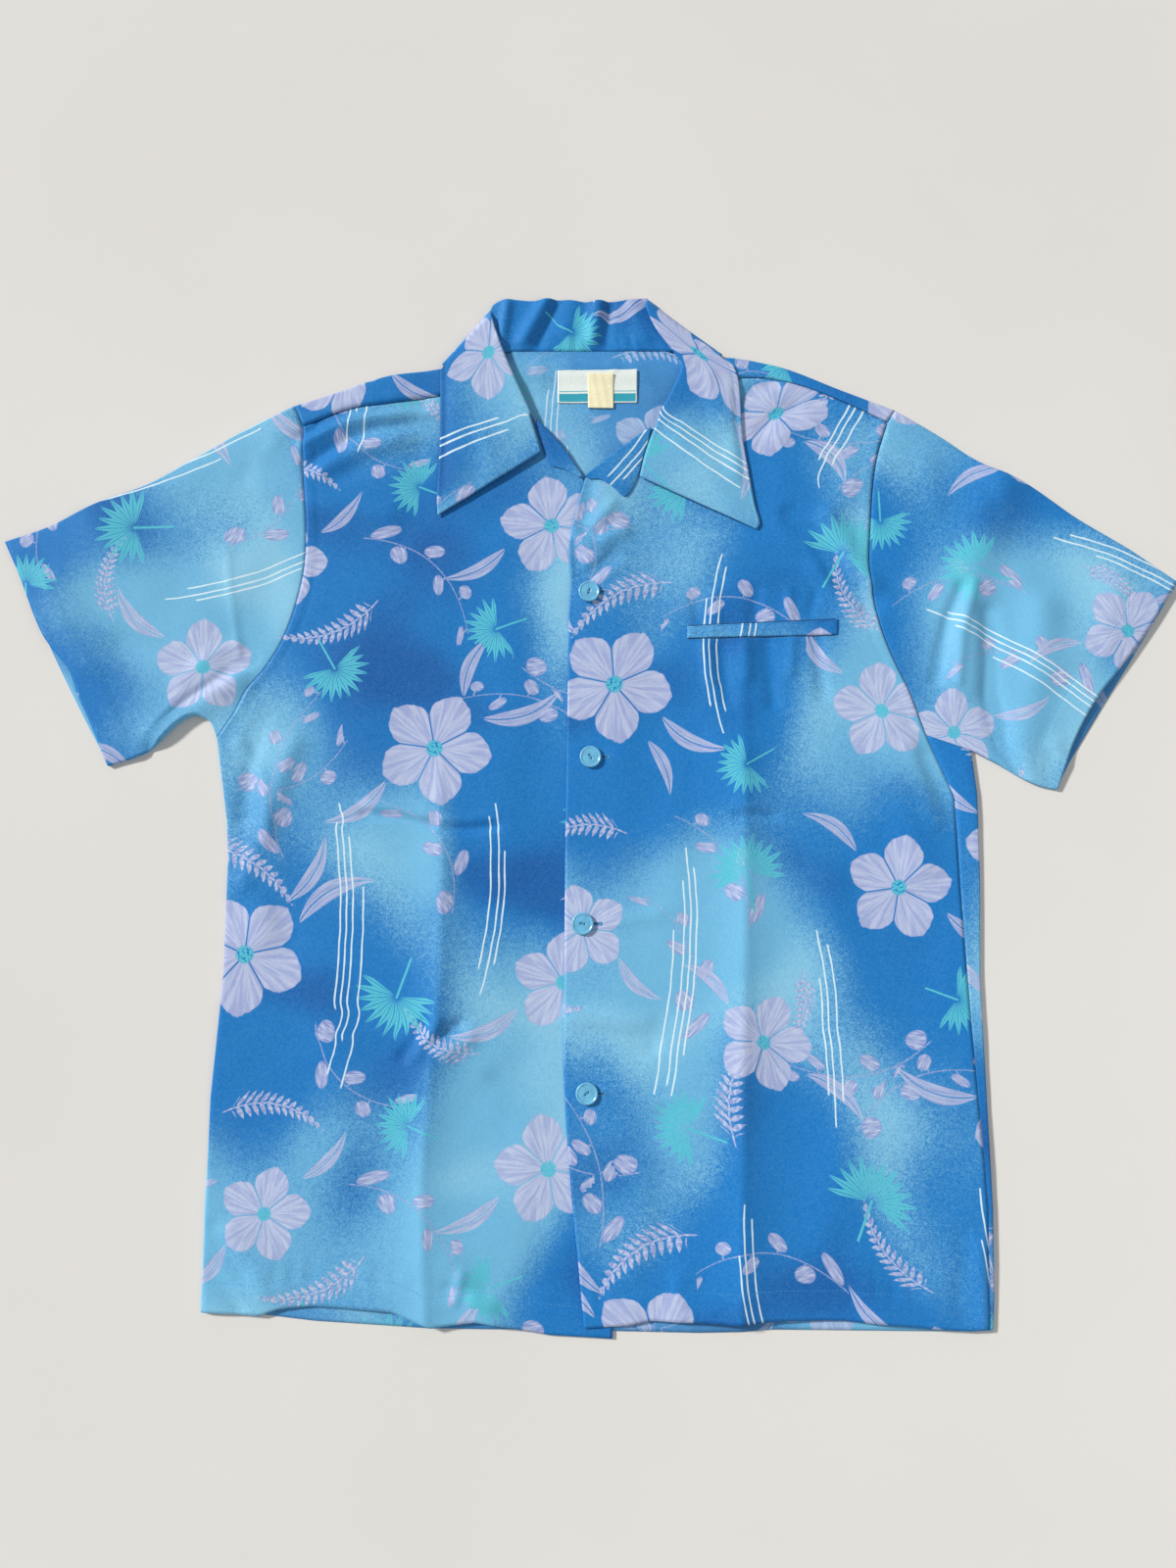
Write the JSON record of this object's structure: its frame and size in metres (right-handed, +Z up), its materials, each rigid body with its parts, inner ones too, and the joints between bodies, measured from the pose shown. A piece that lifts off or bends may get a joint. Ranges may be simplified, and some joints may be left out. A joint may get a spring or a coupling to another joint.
{
  "type": "hawaiian shirt",
  "caption": "Short-sleeved camp-collar shirt in airbrushed blue floral cloth, laid flat and buttoned, with a welt pocket.",
  "frame": {"origin": "middle of the outline seen from above, on the surface that the shirt lies on", "axes": "+X to the wearer's left, along both sleeves; +Y to the collar; +Z up, out of the front of the shirt"},
  "size_m": [0.8804, 0.7659, 0.0085],
  "materials": {
    "print_cloth": "smooth polyester crepe, blue airbrushed ground with lilac and turquoise flowers",
    "label_cloth": "woven satin label, off-white with a plain teal band",
    "tab_cloth": "plain cream tape",
    "button_plastic": "pearly light blue"
  },
  "bodies": {
    "root": {"back": "print_cloth", "front_right": "print_cloth", "front_left": "print_cloth", "sleeve_right": "print_cloth", "sleeve_left": "print_cloth", "collar": "print_cloth", "facing_left": "print_cloth", "facing_right": "print_cloth", "pocket_welt": "print_cloth", "neck_label": "label_cloth", "size_tab": "tab_cloth", "button_1": "button_plastic", "button_2": "button_plastic", "button_3": "button_plastic", "button_4": "button_plastic"}
  },
  "joints": []
}
